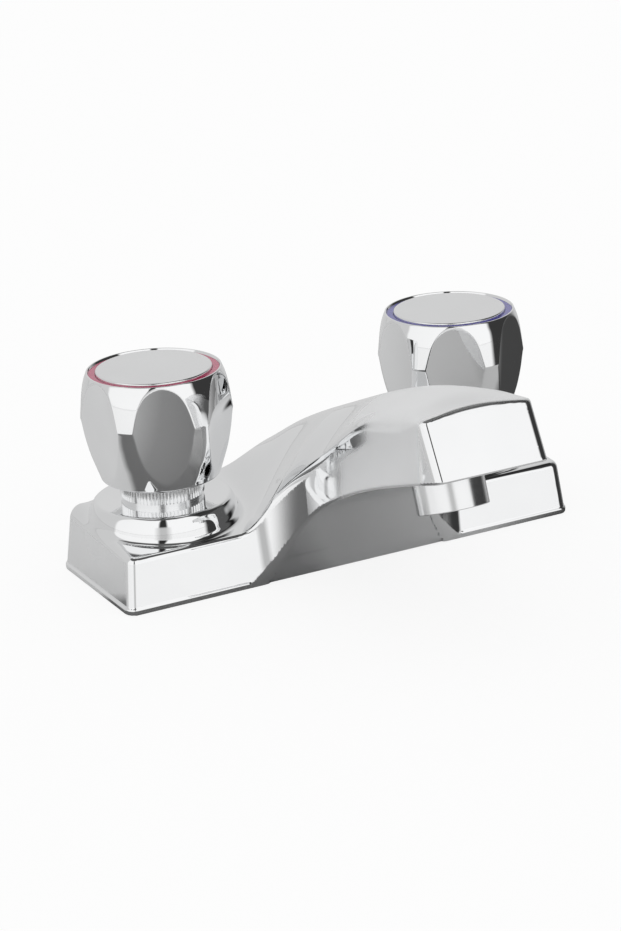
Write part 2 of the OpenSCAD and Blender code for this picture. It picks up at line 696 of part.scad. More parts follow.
module spindle_seal(side) {
    r_in = spindle_r - seal_depth + fit_gap;
    at_axis(side) color(rubber)
        ring(spindle_r + run_gap / 2, r_in, seal_z + seat_gap, seal_z + seal_h - seat_gap);
}
module hot_spindle_seal() { spindle_seal(-1); }
module cold_spindle_seal() { spindle_seal(1); }

// Jumper: plate that carries the seat washer and hexagon that slides in the headwork
washer_screw_r = 1.6;
washer_screw_end = jumper_z - 0.5;
module jumper(side) {
    at_axis(side) color(brass) difference() {
        union() {
            translate([0, 0, plate_z]) cylinder(r = washer_r + 0.6, h = plate_t);
            translate([0, 0, plate_z]) cylinder(r = hex_r, h = jumper_top - plate_z, $fn = 6);
        }
        translate([0, 0, jumper_bore_z]) cylinder(r = thread_r + run_gap, h = jumper_top);
        translate([0, 0, plate_z - 1])
            cylinder(r = washer_screw_r + fit_gap, h = washer_screw_end - plate_z + 1);
    }
}
module hot_jumper() { jumper(-1); }
module cold_jumper() { jumper(1); }

module seat_washer(side) {
    at_axis(side) color(rubber)
        ring(washer_r, washer_screw_r + fit_gap, seat_height, seat_height + washer_t);
}
module hot_seat_washer() { seat_washer(-1); }
module cold_seat_washer() { seat_washer(1); }

module washer_screw(side) {
    at_axis(side) color(brass) {
        translate([0, 0, seat_height - 1.6]) cylinder(r = washer_screw_r + 1.4, h = 1.6);
        translate([0, 0, seat_height - 1]) cylinder(r = washer_screw_r, h = washer_screw_end - seat_height);
    }
}
module hot_washer_screw() { washer_screw(-1); }
module cold_washer_screw() { washer_screw(1); }

// Handle: a turned form with scooped facets, hollow below, with a hub for the spindle
handle_z = boss_top + handle_gap;
handle_top = handle_z + handle_height;
belly_z = handle_z + belly_height;
recess_z = handle_top - recess_depth;
web_z = recess_z - 5.8;
foot_round = 1.2;
shoulder_steps = 6;
flare_line = [[0, 0.1], [0.22, 0.37], [0.42, 0.6], [0.68, 0.81], [0.93, 0.95], [1, 1]];
shoulder_line = [[0, 0], [0.2, 0.12], [0.4, 0.24], [0.6, 0.39], [0.82, 0.65], [1, 1]];
foot_chamfer = 2.4;
module handle_turned() {
    // Foot edge, flare up to the widest ring, then the shoulder in to the rim
    flare = [for (k = [0:shoulder_steps - 1]) let (s = k / shoulder_steps)
        [mix(handle_foot_r, handle_r, along(flare_line, s)), mix(handle_z + foot_round, belly_z, s)]];
    shoulder = [for (k = [0:shoulder_steps]) let (s = k / shoulder_steps)
        [mix(handle_r, rim_r, along(shoulder_line, s)), mix(belly_z, handle_top, s)]];
    rotate_extrude() polygon(concat([[0, handle_z], [handle_foot_r - foot_chamfer, handle_z],
        [handle_foot_r - 0.3, handle_z + foot_round / 3]], flare, shoulder, [[0, handle_top]]));
}
module scoop_cutter() {
    // Cylinder whose surface leans out with height in front of the axis
    foot_z = handle_z + 2.1;
    translate([0, -scoop_foot, foot_z]) rotate([scoop_lean, 0, 0])
        translate([0, -scoop_r, -handle_height]) cylinder(r = scoop_r, h = 3 * handle_height, $fn = 256);
}
module handle_hollow() {
    // Cavity between the outer wall and the hub
    top_r = scoop_foot - handle_wall + 0.6;
    rotate_extrude() polygon([[0, handle_z - 1], [handle_mouth_r, handle_z - 1],
        [handle_mouth_r, handle_z + 2], [scoop_foot - handle_wall - 0.5, handle_z + 9],
        [top_r, web_z - 1], [top_r - 1, web_z], [hub_r, web_z],
        [hub_r - 0.4, gland_top + 1], [0, gland_top + 1]]);
}
module knob(side, turn) {
    at_axis(side) color(chrome) rotate([0, 0, turn]) difference() {
        handle_turned();
        for (k = [0:facets - 1]) rotate([0, 0, 360 * k / facets]) scoop_cutter();
        handle_hollow();
        translate([0, 0, recess_z]) cylinder(r = rim_r - rim_wall, h = recess_depth + 1);
        translate([0, 0, gland_top]) cylinder(r = spline_r + fit_gap, h = spindle_top + 0.3 - gland_top);
        translate([0, 0, spindle_top - 1]) cylinder(r = screw_r + 0.2, h = 10);
        translate([0, 0, spindle_top + 2]) cylinder(r = screw_head_r + 0.3, h = handle_height);
    }
}
module hot_knob() { knob(-1, -hot_facet_angle); }
module cold_knob() { knob(1, -cold_facet_angle); }

module index_ring(side, tint) {
    at_axis(side) color(tint)
        ring(rim_r - rim_wall - fit_gap, cap_r + fit_gap, recess_z, recess_z + ring_height);
}
module hot_index_ring() { index_ring(-1, "crimson"); }
module cold_index_ring() { index_ring(1, "mediumblue"); }

module cap(side) {
    edge = 0.5;
    cap_top = handle_top + cap_rise;
    at_axis(side) color(chrome) rotate_extrude() polygon([[0, recess_z - 2],
        [screw_head_r + 0.2, recess_z - 2], [screw_head_r + 0.2, recess_z], [cap_r, recess_z],
        [cap_r, cap_top - edge], [cap_r - edge * 0.3, cap_top - edge * 0.3],
        [cap_r - edge, cap_top], [0, cap_top]]);
}
module hot_cap() { cap(-1); }
module cold_cap() { cap(1); }

module handle_screw(side) {
    slot_w = 1;
    head_z = spindle_top + 2;
    at_axis(side) color("silver") difference() {
        union() {
            translate([0, 0, spindle_top - screw_depth + 1]) cylinder(r = screw_r, h = screw_depth + 1.5);
            translate([0, 0, head_z]) cylinder(r = screw_head_r, h = 1.6);
        }
        translate([-screw_head_r - 1, -slot_w / 2, head_z + 0.8]) cube([2 * screw_head_r + 2, slot_w, 2]);
    }
}
module hot_handle_screw() { handle_screw(-1); }
module cold_handle_screw() { handle_screw(1); }

body_shell();
deck_gasket();
spout_underside();
mixing_tee();
hot_link_tube();
cold_link_tube();
spout_tube();
outlet_collar();
aerator_insert();
aerator_washer();
hot_valve_body();
cold_valve_body();
hot_shank_washer();
cold_shank_washer();
hot_shank_nut();
cold_shank_nut();
hot_locknut();
cold_locknut();
hot_headwork();
cold_headwork();
hot_spindle();
cold_spindle();
hot_spindle_seal();
cold_spindle_seal();
hot_jumper();
cold_jumper();
hot_seat_washer();
cold_seat_washer();
hot_washer_screw();
cold_washer_screw();
hot_knob();
cold_knob();
hot_index_ring();
cold_index_ring();
hot_cap();
cold_cap();
hot_handle_screw();
cold_handle_screw();
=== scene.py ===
"""Looks of the two-handle basin faucet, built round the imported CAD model."""

import json
import math

import bpy
import numpy as np
from mathutils import Matrix, Vector


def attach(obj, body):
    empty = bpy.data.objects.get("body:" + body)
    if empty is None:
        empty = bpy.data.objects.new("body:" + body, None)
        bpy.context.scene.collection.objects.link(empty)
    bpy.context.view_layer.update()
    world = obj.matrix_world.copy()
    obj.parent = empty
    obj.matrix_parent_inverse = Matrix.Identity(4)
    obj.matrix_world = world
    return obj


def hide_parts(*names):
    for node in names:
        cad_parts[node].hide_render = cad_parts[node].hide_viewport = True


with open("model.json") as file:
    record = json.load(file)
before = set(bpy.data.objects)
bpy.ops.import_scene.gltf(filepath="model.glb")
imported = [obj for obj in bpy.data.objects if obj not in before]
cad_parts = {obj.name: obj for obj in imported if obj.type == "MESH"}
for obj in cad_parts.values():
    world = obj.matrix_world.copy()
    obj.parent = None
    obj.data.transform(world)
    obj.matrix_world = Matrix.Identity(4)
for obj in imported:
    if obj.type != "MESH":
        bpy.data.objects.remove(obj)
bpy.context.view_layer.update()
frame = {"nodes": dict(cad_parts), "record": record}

MM = 0.001

# Sizes of the body, in millimetres
END_X, FRONT_Y, BACK_Y = 75.8, -25.0, 25.0
HALF_L, HALF_D = 76.2, 25.4
LEAN = math.tan(math.radians(6))
FRONT_H, BACK_H = 16.5, 22.0
RIM_H, RIM_STEP, RIM_ROUND, CORNER_R = 2.0, 0.4, 0.3, 4.0
WALL = 2.0
AXIS_X, AXIS_Y = 50.8, 2.4
BOSS_TOP, BOSS_TOP_R, BOSS_R = 24.8, 19.8, 22.7
NECK_HOLE_R = 11.1

# Sizes of the spout, in millimetres
REACH, NOSE_Z, NOSE_FACE = 108.0, 53.0, 17.4
NOSE_T = math.tan(math.radians(28))
ARM_HALF, WING_HALF, WING_SWEEP = 18.0, 38.0, 24.6
SWEEP_X, SWEEP_Y = WING_HALF - ARM_HALF, FRONT_Y - WING_SWEEP
NOSE_TOP = NOSE_Z + NOSE_FACE
NOSE_TOP_Y = -REACH + NOSE_FACE * NOSE_T
RIDGE_BACK, RIDGE_TOP = 26.8, NOSE_TOP + 1.0
RIDGE_FOOT = WING_HALF + 3
NOSE_CROWN = 5.0
PANEL_T, PANEL_INSET, PANEL_GAP, PANEL_BACK = 1.5, 0.8, 0.1, 2.1
OUTLET_R, OUTLET_WALL, OUTLET_SETBACK, OUTLET_LENGTH = 10.4, 1.6, 26.6, 9.6
AERATOR_SEAT = 2.1
TUBE_SOCKET_R, TUBE_SOCKET_H = 6.05, 3.5

# Edge rounds of the shell, in millimetres
NOSE_ROUND, LIP_ROUND, HOLLOW_ROUND, HOLE_ROUND = 3.0, 0.8, 0.25, 0.2
FRONT_ROUND, END_ROUND = 1.5, 5.0
ARM_ROUND_Y, ARM_ROUND = (-98, -88, -80, -66, -48), (0.9, 4.5, 4.0, 1.9, 1.3)
END_ROUND_FROM, END_ROUND_OVER = 12, 18
BOSS_FILLET_Z, BOSS_FILLET = (4, 12), (0.02, 1.8)

# Sizes of the handles, in millimetres
HANDLE_Z, HANDLE_H, BELLY_H = 31.2, 33.8, 20.2
HANDLE_TOP = HANDLE_Z + HANDLE_H
HANDLE_R, FOOT_R, RIM_R = 22.8, 17.6, 20.3
FOOT_ROUND, FOOT_FLAT, RIM_EDGE = 1.2, 2.4, 0.35
FACETS, SCOOP_R, SCOOP_BLEND = 6, 42.0, 0.12
SCOOP_TIP_Z, SCOOP_TIP_R = 33.3, 18.6
SCOOP_SWELL, SCOOP_SWELL_Z, SCOOP_SLOPE = 0.55, 5.0, 0.037
RECESS_DEPTH, RIM_WALL, MOUTH_R = 2.2, 0.6, 13.4
RECESS_Z = HANDLE_TOP - RECESS_DEPTH
SCREW_HOLE_R, SCREW_HOLE_Z = 4.2, 56.0
HUB_R, HUB_Z, HOLLOW_R, HOLLOW_TOP = 7.5, 45.0, 15.0, 57.0
CAP_R, CAP_RISE, CAP_ROUND = 17.4, 0.3, 0.5
RING_H, RING_GAP, RING_ROUND = 1.5, 0.05, 0.2

# Lines along the spout and the handle: share of the way and share of the rise
RIDGE_LINE = [(0, 0), (0.18, 0.28), (0.43, 0.575), (0.72, 0.88), (0.91, 1), (1, 0.97)]
COVE_LINE = [(0, 0), (0.02, 0.11), (0.067, 0.27), (0.137, 0.428), (0.234, 0.546),
             (0.457, 0.712), (0.748, 0.876), (1, 1)]
VALLEY_LINE = [(0, 0), (0.2, 0.01), (0.36, 0.30), (0.5, 0.53), (0.66, 0.68), (1, 1)]
FOOT_LINE = [(0, 0.59), (0.3, 0.62), (0.66, 0.71), (0.91, 0.9), (1, 1)]
FLARE_LINE = [(0, 0.1), (0.22, 0.37), (0.42, 0.6), (0.68, 0.81), (0.93, 0.95), (1, 1)]
SHOULDER_LINE = [(0, 0), (0.2, 0.12), (0.4, 0.24), (0.6, 0.39), (0.82, 0.65), (1, 1)]

# Cell of the shell's mesh, in millimetres, and the boxes that hold the two netted pieces
STEP = 0.6
SHELL_LOW, SHELL_HIGH = (-77.5, -109.5, -1.3), (77.5, 26.7, 73.0)
PANEL_LOW, PANEL_HIGH = (-38.0, -106.0, -1.3), (38.0, -22.0, 56.0)
COARSE = 4
SETTLE_ROUNDS = 3

# Satin share of the arm: roughness, pale haze, and the metres over which it comes in
SATIN = 0.38
SATIN_HAZE = 0.35
SATIN_BACK = (-0.040, -0.058)
SATIN_FRONT = (-0.1005, -0.0965)
SATIN_SIDE = (0.027, 0.021)

# Bright strip along the arm's upper edge, within the satin share: the edge's slope, and the
# metres over which the strip comes in from below, from above, sideways and from the nose
CREASE_SLOPE = 0.55
CREASE_LOW = (0.0150, 0.0180)
CREASE_HIGH = (0.0265, 0.0245)
CREASE_SIDE = (0.0105, 0.0130)
CREASE_END = (-0.073, -0.060)

CAMERA_AZ, CAMERA_EL, CAMERA_ROLL = math.radians(-26.69), math.radians(19.21), math.radians(3.11)
CAMERA_PLACE = Vector((-357.33, -707.32, 300.5)) * MM
LENS = 105.15

# Brightness round the studio: azimuth from the camera in degrees, right positive, then grey.
# Panels stand left and right of the camera, with a gap between them behind it.
LEFT_PANEL = [(-180, 0.68), (-118, 0.62), (-80, 0.62), (-76, 0.95)]
RIGHT_PANEL = [(64, 1.0), (70, 0.04), (120, 0.04), (150, 0.6), (180, 0.68)]
SOFT_GAP = [(-14, 1.0), (-4, 0.55), (4, 0.55), (14, 1.0)]
DARK_GAP = [(-8, 1.0), (-5, 0.03), (5, 0.03), (8, 1.0)]
HORIZON_BAND = LEFT_PANEL + SOFT_GAP + RIGHT_PANEL
LOW_BAND = LEFT_PANEL + DARK_GAP + RIGHT_PANEL
HIGH_BAND = [(-180, 0.01), (-166, 0.02), (-154, 0.62), (-80, 0.66), (-76, 0.95)]
HIGH_BAND += DARK_GAP + [(64, 1.0), (70, 0.03), (180, 0.01)]
# Painted shade and light: grey of the floor in the chrome's reflections only, darker and lighter
# round the object; the camera sees the floor white.
PAINTED_FLOOR_SHADE = [(-180, 0.5), (-150, 0.55), (-100, 0.65), (-62, 0.62), (-56, 0.16), (-30, 0.18),
              (-4, 0.26), (14, 0.46), (45, 0.5), (88, 0.5), (98, 0.06), (130, 0.06),
              (160, 0.45), (180, 0.5)]

# Heights in the studio where one band gives way to the next
HORIZON_EDGE = (math.radians(14), math.radians(22))
BAND_EDGE = (math.radians(48), math.radians(58))
CEILING_EDGE = (math.radians(60), math.radians(68))
CEILING = 0.1
SOFT_LIGHT = 1.0

# Floor: half its width in metres, its own light to the camera, and where it turns glossy
FLOOR_HALF = 30.0
FLOOR_GLOW = 0.85
GLOSS_EDGE = (0.69, 0.79)


# Lines and surfaces of the body

def along(table, s):
    """Smooth curve through the pairs of a table, read at many places."""
    t = np.array(table, float)
    rate = np.empty(len(t))
    rate[1:-1] = (t[2:, 1] - t[:-2, 1]) / (t[2:, 0] - t[:-2, 0])
    rate[0] = (t[1, 1] - t[0, 1]) / (t[1, 0] - t[0, 0])
    rate[-1] = (t[-1, 1] - t[-2, 1]) / (t[-1, 0] - t[-2, 0])
    s = np.clip(s, 0, 1)
    i = np.clip(np.searchsorted(t[:, 0], s, side="right") - 1, 0, len(t) - 2)
    h = t[i + 1, 0] - t[i, 0]
    u = (s - t[i, 0]) / h
    return (t[i, 1] * (2 * u**3 - 3 * u**2 + 1) + rate[i] * h * (u**3 - 2 * u**2 + u)
            + t[i + 1, 1] * (3 * u**2 - 2 * u**3) + rate[i + 1] * h * (u**3 - u**2))


def mix(a, b, s):
    """Value between a and b at the share s."""
    return a + (b - a) * s


def deck_z(y):
    """Height of the body's top, which falls from the back to the front."""
    return mix(BACK_H, FRONT_H, (HALF_D - y) / (2 * HALF_D))


def ridge_z(y):
    """Height of the ridge along the middle."""
    return mix(RIDGE_BACK, RIDGE_TOP, along(RIDGE_LINE, (HALF_D - y) / (HALF_D - NOSE_TOP_Y)))


def valley_z(y):
    """Height of the top at the foot of the ridge: the deck, then the arm's upper edge."""
    way = (-HALF_D - y) / (-HALF_D - NOSE_TOP_Y)
    far = mix(FRONT_H, NOSE_TOP - NOSE_CROWN, along(VALLEY_LINE, way))
    return np.where(y > -HALF_D, deck_z(y), far)


def cove_z(y):
    """Height of the lower lip."""
    return NOSE_Z * along(COVE_LINE, (FRONT_Y - y) / (FRONT_Y + REACH))


def cove_line(y):
    """Lip line, carried on below the deck behind the body's front."""
    first = NOSE_Z * COVE_LINE[1][1] / ((REACH + FRONT_Y) * COVE_LINE[1][0])
    return np.where(y > FRONT_Y, (FRONT_Y - y) * first, cove_z(y))


def foot_half(y):
    """Half the width of the ridge at its foot."""
    return RIDGE_FOOT * along(FOOT_LINE, (HALF_D - y) / (2 * HALF_D))


def top_z(x, y):
    """Height of the whole top surface."""
    u = np.minimum(np.abs(x) / foot_half(y), 1)
    return mix(valley_z(y), ridge_z(y), (1 - u**2) ** 2)


def lookup(line, y):
    """A line's height read from a fine table, for many points."""
    grid = np.arange(-REACH - 6, HALF_D + 6, 0.05)
    return np.interp(y, grid, line(grid))


def over_line(line, y, z):
    """Distance above a line that runs from front to back."""
    half = 0.15
    rate = (lookup(line, y - half) - lookup(line, y + half)) / (2 * half)
    return (z - lookup(line, y)) / np.sqrt(1 + rate**2)


# Fields: distances that are negative inside a form

def both(a, b, r):
    """Common part of two forms with a round edge of radius r."""
    near = np.minimum(-r, np.maximum(a, b))
    return near + np.hypot(np.maximum(a + r, 0), np.maximum(b + r, 0))


def either(a, b, r):
    """Union of two forms with a hollow fillet of radius r."""
    near = np.maximum(r, np.minimum(a, b))
    return near - np.hypot(np.maximum(r - a, 0), np.maximum(r - b, 0))


def plan_field(x, y, z, inset):
    """Distance to the upright walls of the body, its wings and the arm."""
    ax = np.abs(x)
    tilt = 1 - np.clip((WING_HALF - ax) / SWEEP_X, 0, 1) ** 2
    yy = y - LEAN * z * tilt
    u, v = (ax - WING_HALF) / SWEEP_X, (yy - SWEEP_Y) / WING_SWEEP
    q = np.sqrt(u**2 + v**2) + 1e-6
    wing = -(q - 1) * q / (np.sqrt((u / SWEEP_X) ** 2 + (v / WING_SWEEP) ** 2) + 1e-9)
    front = np.where(ax > WING_HALF, FRONT_Y - yy, wing)
    plan = np.where(yy > SWEEP_Y, front, ax - ARM_HALF)
    nose = (-REACH + (z - NOSE_Z) * NOSE_T - y) * math.cos(math.atan(NOSE_T))
    back = y + LEAN * z - BACK_Y
    side = ax - END_X + LEAN * z
    r = max(NOSE_ROUND - inset, 0.5)
    return both(both(plan + inset, nose + inset, r), both(side + inset, back + inset, r), r)


def top_field(x, y, z, inset):
    """Distance to the top surface."""
    half = 0.3
    height = top_z(x, y)
    gx = (top_z(x + half, y) - top_z(x - half, y)) / (2 * half)
    gy = (top_z(x, y + half) - top_z(x, y - half)) / (2 * half)
    return (z - height) / np.sqrt(1 + gx**2 + gy**2) + inset


def boss_field(r, z):
    """Distance to a boss, at a radius from its axis."""
    wide, high = BOSS_R - BOSS_TOP_R, BOSS_TOP - FRONT_H
    u, v = (r - BOSS_TOP_R) / wide, (z - FRONT_H) / high
    q = np.sqrt(u**2 + v**2) + 1e-6
    bulge = (q - 1) * q / (np.hypot(u / wide, v / high) + 1e-9)
    above = np.where(r < BOSS_TOP_R, z - BOSS_TOP, bulge)
    return np.where(z < FRONT_H, r - BOSS_R, above)


def rim_field(x, y, z):
    """Distance to the foot rim, which stops at the wings in front."""
    cx = np.maximum(np.abs(x) - HALF_L + CORNER_R, 0)
    cy = np.maximum(np.abs(y) - HALF_D + CORNER_R, 0)
    inner = np.maximum(np.abs(x) - HALF_L, np.abs(y) - HALF_D)
    rim = np.where((cx > 0) & (cy > 0), np.hypot(cx, cy) - CORNER_R, inner)
    rim = both(rim, z - RIM_H, RIM_ROUND)
    return np.maximum(rim, -np.maximum(np.abs(x) - WING_HALF + 1.4, y - FRONT_Y - 0.3))


def shell_field(x, y, z):
    """Distance to the cast shell."""
    plan = plan_field(x, y, z, 0)
    top = top_field(x, y, z, 0)
    end_r = mix(FRONT_ROUND, END_ROUND, np.clip((y + HALF_D) / (2 * HALF_D), 0, 1))
    arm_r = np.interp(y, ARM_ROUND_Y, ARM_ROUND)
    outward = (np.abs(x) - WING_HALF - END_ROUND_FROM) / END_ROUND_OVER
    body = both(plan, top, mix(arm_r, end_r, np.clip(outward, 0, 1) ** 2))
    r = np.hypot(np.abs(x) - AXIS_X, y - AXIS_Y)
    body = either(body, boss_field(r, z), np.interp(z, BOSS_FILLET_Z, BOSS_FILLET))
    body = either(body, rim_field(x, y, z), RIM_STEP)
    body = both(body, -over_line(cove_z, y, z), LIP_ROUND)
    hollow = np.maximum(plan_field(x, y, z, WALL), top_field(x, y, z, WALL))
    hollow = np.maximum(hollow, -z - 1)
    body = both(body, -hollow, HOLLOW_ROUND)
    return both(body, NECK_HOLE_R - r, HOLE_ROUND)


def outlet_place():
    """Place of the outlet on the lip line, and its lean."""
    y = -REACH + OUTLET_SETBACK
    rate = (cove_z(np.array([y - 0.2]))[0] - cove_z(np.array([y + 0.2]))[0]) / 0.4
    return y, float(cove_z(np.array([y]))[0]), math.atan(rate)


def outlet_radius(x, y, z):
    """Distance from the outlet's axis."""
    oy, oz, tilt = outlet_place()
    side = (y - oy) * math.cos(tilt) - (z - oz) * math.sin(tilt)
    return np.hypot(x, side)


def panel_field(x, y, z):
    """Distance to the panel that closes the arm's underside."""
    depth = over_line(cove_line, y, z)
    skin = np.abs(depth - PANEL_INSET - PANEL_T / 2) - PANEL_T / 2
    form = np.maximum(skin, plan_field(x, y, z, WALL + PANEL_GAP))
    form = np.maximum(form, y - FRONT_Y - PANEL_BACK)
    form = np.maximum(form, -z)
    return np.maximum(form, OUTLET_R + PANEL_GAP - outlet_radius(x, y, z))


# Meshes

def new_object(name, points, faces):
    """Smooth-shaded object from points in millimetres."""
    mesh = bpy.data.meshes.new(name)
    mesh.from_pydata((points * MM).tolist(), [], faces.tolist())
    mesh.shade_smooth()
    obj = bpy.data.objects.new(name, mesh)
    bpy.context.scene.collection.objects.link(obj)
    return obj


def slopes(field, points):
    """Unit gradient of a field and its value divided by the slope, at many points."""
    half = 0.02
    x, y, z = points.T
    here = field(x, y, z)
    grad = np.stack([field(x + half, y, z) - field(x - half, y, z),
                     field(x, y + half, z) - field(x, y - half, z),
                     field(x, y, z + half) - field(x, y, z - half)], 1) / (2 * half)
    size = np.linalg.norm(grad, axis=1) + 1e-9
    return grad / size[:, None], here / np.maximum(size, 0.5)


def sample_near(field, axes, step):
    """Field on a grid, worked out only near the surface and left empty elsewhere."""
    shape = [len(a) for a in axes]
    cx, cy, cz = np.meshgrid(*[a[::COARSE] for a in axes], indexing="ij")
    near = np.abs(field(cx, cy, cz)) < 2.2 * COARSE * step
    for k in range(3):
        near = near | np.roll(near, 1, k) | np.roll(near, -1, k)
    for k in range(3):
        near = np.repeat(near, COARSE, k)
    near = near[:shape[0], :shape[1], :shape[2]]
    value = np.full(shape, np.nan, np.float32)
    ix, iy, iz = np.nonzero(near)
    value[ix, iy, iz] = field(axes[0][ix], axes[1][iy], axes[2][iz])
    return value


def crossed_cells(value):
    """Cells with known corners on both sides of the surface."""
    inside, known = value < 0, ~np.isnan(value)
    cells = [n - 1 for n in value.shape]
    total = np.zeros(cells, np.int8)
    full = np.ones(cells, bool)
    for corner in np.ndindex(2, 2, 2):
        part = tuple(slice(d, n + d) for d, n in zip(corner, cells))
        total += inside[part]
        full &= known[part]
    return full & (total > 0) & (total < 8)


def cell_points(value, cells):
    """Middle of the places where the surface crosses each cell's edges, in cells."""
    points = np.zeros((len(cells), 3))
    count = np.zeros(len(cells))
    for axis in range(3):
        o1, o2 = [k for k in range(3) if k != axis]
        for a, b in np.ndindex(2, 2):
            at = cells.copy()
            at[:, o1] += a
            at[:, o2] += b
            to = at.copy()
            to[:, axis] += 1
            va, vb = value[tuple(at.T)], value[tuple(to.T)]
            hit = (va < 0) != (vb < 0)
            spot = at.astype(float)
            spot[:, axis] += np.where(hit, va / np.where(hit, va - vb, 1), 0)
            points += spot * hit[:, None]
            count += hit
    return points / count[:, None]


def net_quads(inside, index):
    """One quad across each grid edge that the surface crosses."""
    quads = []
    for axis in range(3):
        o1, o2 = [(1, 2), (2, 0), (0, 1)][axis]
        start = [slice(1, -1)] * 3
        start[axis] = slice(0, -1)
        stop = list(start)
        stop[axis] = slice(1, None)
        a, b = inside[tuple(start)], inside[tuple(stop)]
        for flip, hits in ((False, a & ~b), (True, ~a & b)):
            at = np.argwhere(hits)
            at[:, o1] += 1
            at[:, o2] += 1
            ring = []
            for s1, s2 in ((-1, -1), (0, -1), (0, 0), (-1, 0)):
                corner = at.copy()
                corner[:, o1] += s1
                corner[:, o2] += s2
                ring.append(index[tuple(corner.T)])
            quad = np.stack(ring, 1)
            quad = quad[(quad >= 0).all(1)]
            quads.append(quad[:, ::-1] if flip else quad)
    return np.concatenate(quads)


def net_mesh(name, field, low, high, step):
    """Skin of a field: one vertex in each crossed cell, moved onto the surface."""
    axes = [np.arange(a, b + step, step) for a, b in zip(low, high)]
    value = sample_near(field, axes, step)
    crossed = crossed_cells(value)
    cells = np.argwhere(crossed)
    index = np.full(crossed.shape, -1, np.int64)
    index[tuple(cells.T)] = np.arange(len(cells))
    points = cell_points(value, cells) * step + np.array([a[0] for a in axes])
    for _ in range(SETTLE_ROUNDS):
        normals, here = slopes(field, points)
        points = points - np.clip(here, -step, step)[:, None] * normals * 0.9
    normals, _ = slopes(field, points)
    obj = new_object(name, points, net_quads(value < 0, index))
    obj.data.normals_split_custom_set_from_vertices(normals.tolist())
    return obj


def grid_mesh(name, rows):
    """Closed mesh of rings: rows is an array of rings of points in millimetres."""
    rings = np.array(rows)
    m, n = rings.shape[:2]
    a = np.arange(n)
    b = (a + 1) % n
    quads = []
    for i in range(m):
        j = (i + 1) % m
        quads.append(np.stack([i * n + a, i * n + b, j * n + b, j * n + a], 1))
    return new_object(name, rings.reshape(-1, 3), np.concatenate(quads))


def ring_points(radius, angle, z):
    """Level ring of points; the radius may change round the ring."""
    return np.stack([radius * np.cos(angle), radius * np.sin(angle), np.full(len(angle), z)], 1)


def rounded(points, radius, steps=5):
    """Closed outline in (r, z) with its corners rounded, and a flat point beside each round."""
    out = []
    n = len(points)
    for i, p in enumerate(points):
        p = np.array(p, float)
        a, b = np.array(points[i - 1], float) - p, np.array(points[(i + 1) % n], float) - p
        la, lb = np.linalg.norm(a), np.linalg.norm(b)
        a, b = a / la, b / lb
        turn = math.acos(max(-1, min(1, -float(a @ b))))
        if turn < 0.05:
            out.append(p)
            continue
        cut = min(radius * math.tan(turn / 2), la * 0.45, lb * 0.45)
        out.append(p + a * cut * 1.1)
        for k in range(steps + 1):
            s = k / steps
            bend = (1 - s) ** 2 * (p + a * cut) + 2 * s * (1 - s) * p + s**2 * (p + b * cut)
            out.append(bend)
        out.append(p + b * cut * 1.1)
    return out


def lathe(name, outline, centre, turns=160, tilt=0.0):
    """Turned piece: a closed outline in (r, z) round an axis at centre that may lean."""
    angle = np.linspace(0, 2 * math.pi, turns, endpoint=False)
    rows = np.array([ring_points(r, angle, z) for r, z in outline])
    lean = np.array(Matrix.Rotation(-tilt, 3, "X"))
    return grid_mesh(name, rows @ lean.T + np.array(centre))


def scoop_radius(phi, z):
    """Radius of the facet's hollow at an angle from the facet's middle."""
    rise = z - SCOOP_TIP_Z
    reach = SCOOP_TIP_R + SCOOP_SWELL * (1 - math.exp(-rise / SCOOP_SWELL_Z)) + SCOOP_SLOPE * rise
    far = reach + SCOOP_R
    return far * np.cos(phi) - np.sqrt(SCOOP_R**2 - (far * np.sin(phi)) ** 2)


def knob_profile():
    """Outside of the handle before its facets are cut, from the mouth up to the rim."""
    belly_z = HANDLE_Z + BELLY_H
    low = np.linspace(0, 1, 34)[1:]
    high = np.linspace(0, 1, 30)[1:]
    foot_r = FOOT_R - FOOT_FLAT
    start = mix(FOOT_R, HANDLE_R, FLARE_LINE[0][1])
    line = [(MOUTH_R, HANDLE_Z + 2), (MOUTH_R, HANDLE_Z + 0.3), (MOUTH_R + 0.3, HANDLE_Z)]
    line += [(r, HANDLE_Z) for r in np.linspace(MOUTH_R + 0.8, foot_r, 4)]
    for a in np.linspace(0, math.pi / 2, 8)[1:]:
        line.append((mix(foot_r, start, math.sin(a)), HANDLE_Z + FOOT_ROUND * (1 - math.cos(a))))
    line += list(zip(mix(FOOT_R, HANDLE_R, along(FLARE_LINE, low)),
                     mix(HANDLE_Z + FOOT_ROUND, belly_z, low)))
    line += list(zip(mix(HANDLE_R, RIM_R, along(SHOULDER_LINE, high)),
                     mix(belly_z, HANDLE_TOP - RIM_EDGE, high)))
    return line + [(RIM_R - 0.1, HANDLE_TOP - 0.1), (RIM_R - 0.25, HANDLE_TOP)]


def knob_inside():
    """Recess, screw hole, hub and hollow of the handle, from the rim down to the mouth."""
    rim_in = RIM_R - RIM_WALL
    return [(rim_in + 0.1, HANDLE_TOP), (rim_in, HANDLE_TOP - 0.1), (rim_in, RECESS_Z),
            (SCREW_HOLE_R, RECESS_Z), (SCREW_HOLE_R, SCREW_HOLE_Z), (HUB_R, HUB_Z),
            (HUB_R, HOLLOW_TOP), (HOLLOW_R, HOLLOW_TOP), (HOLLOW_R + 0.2, HANDLE_Z + 9)]


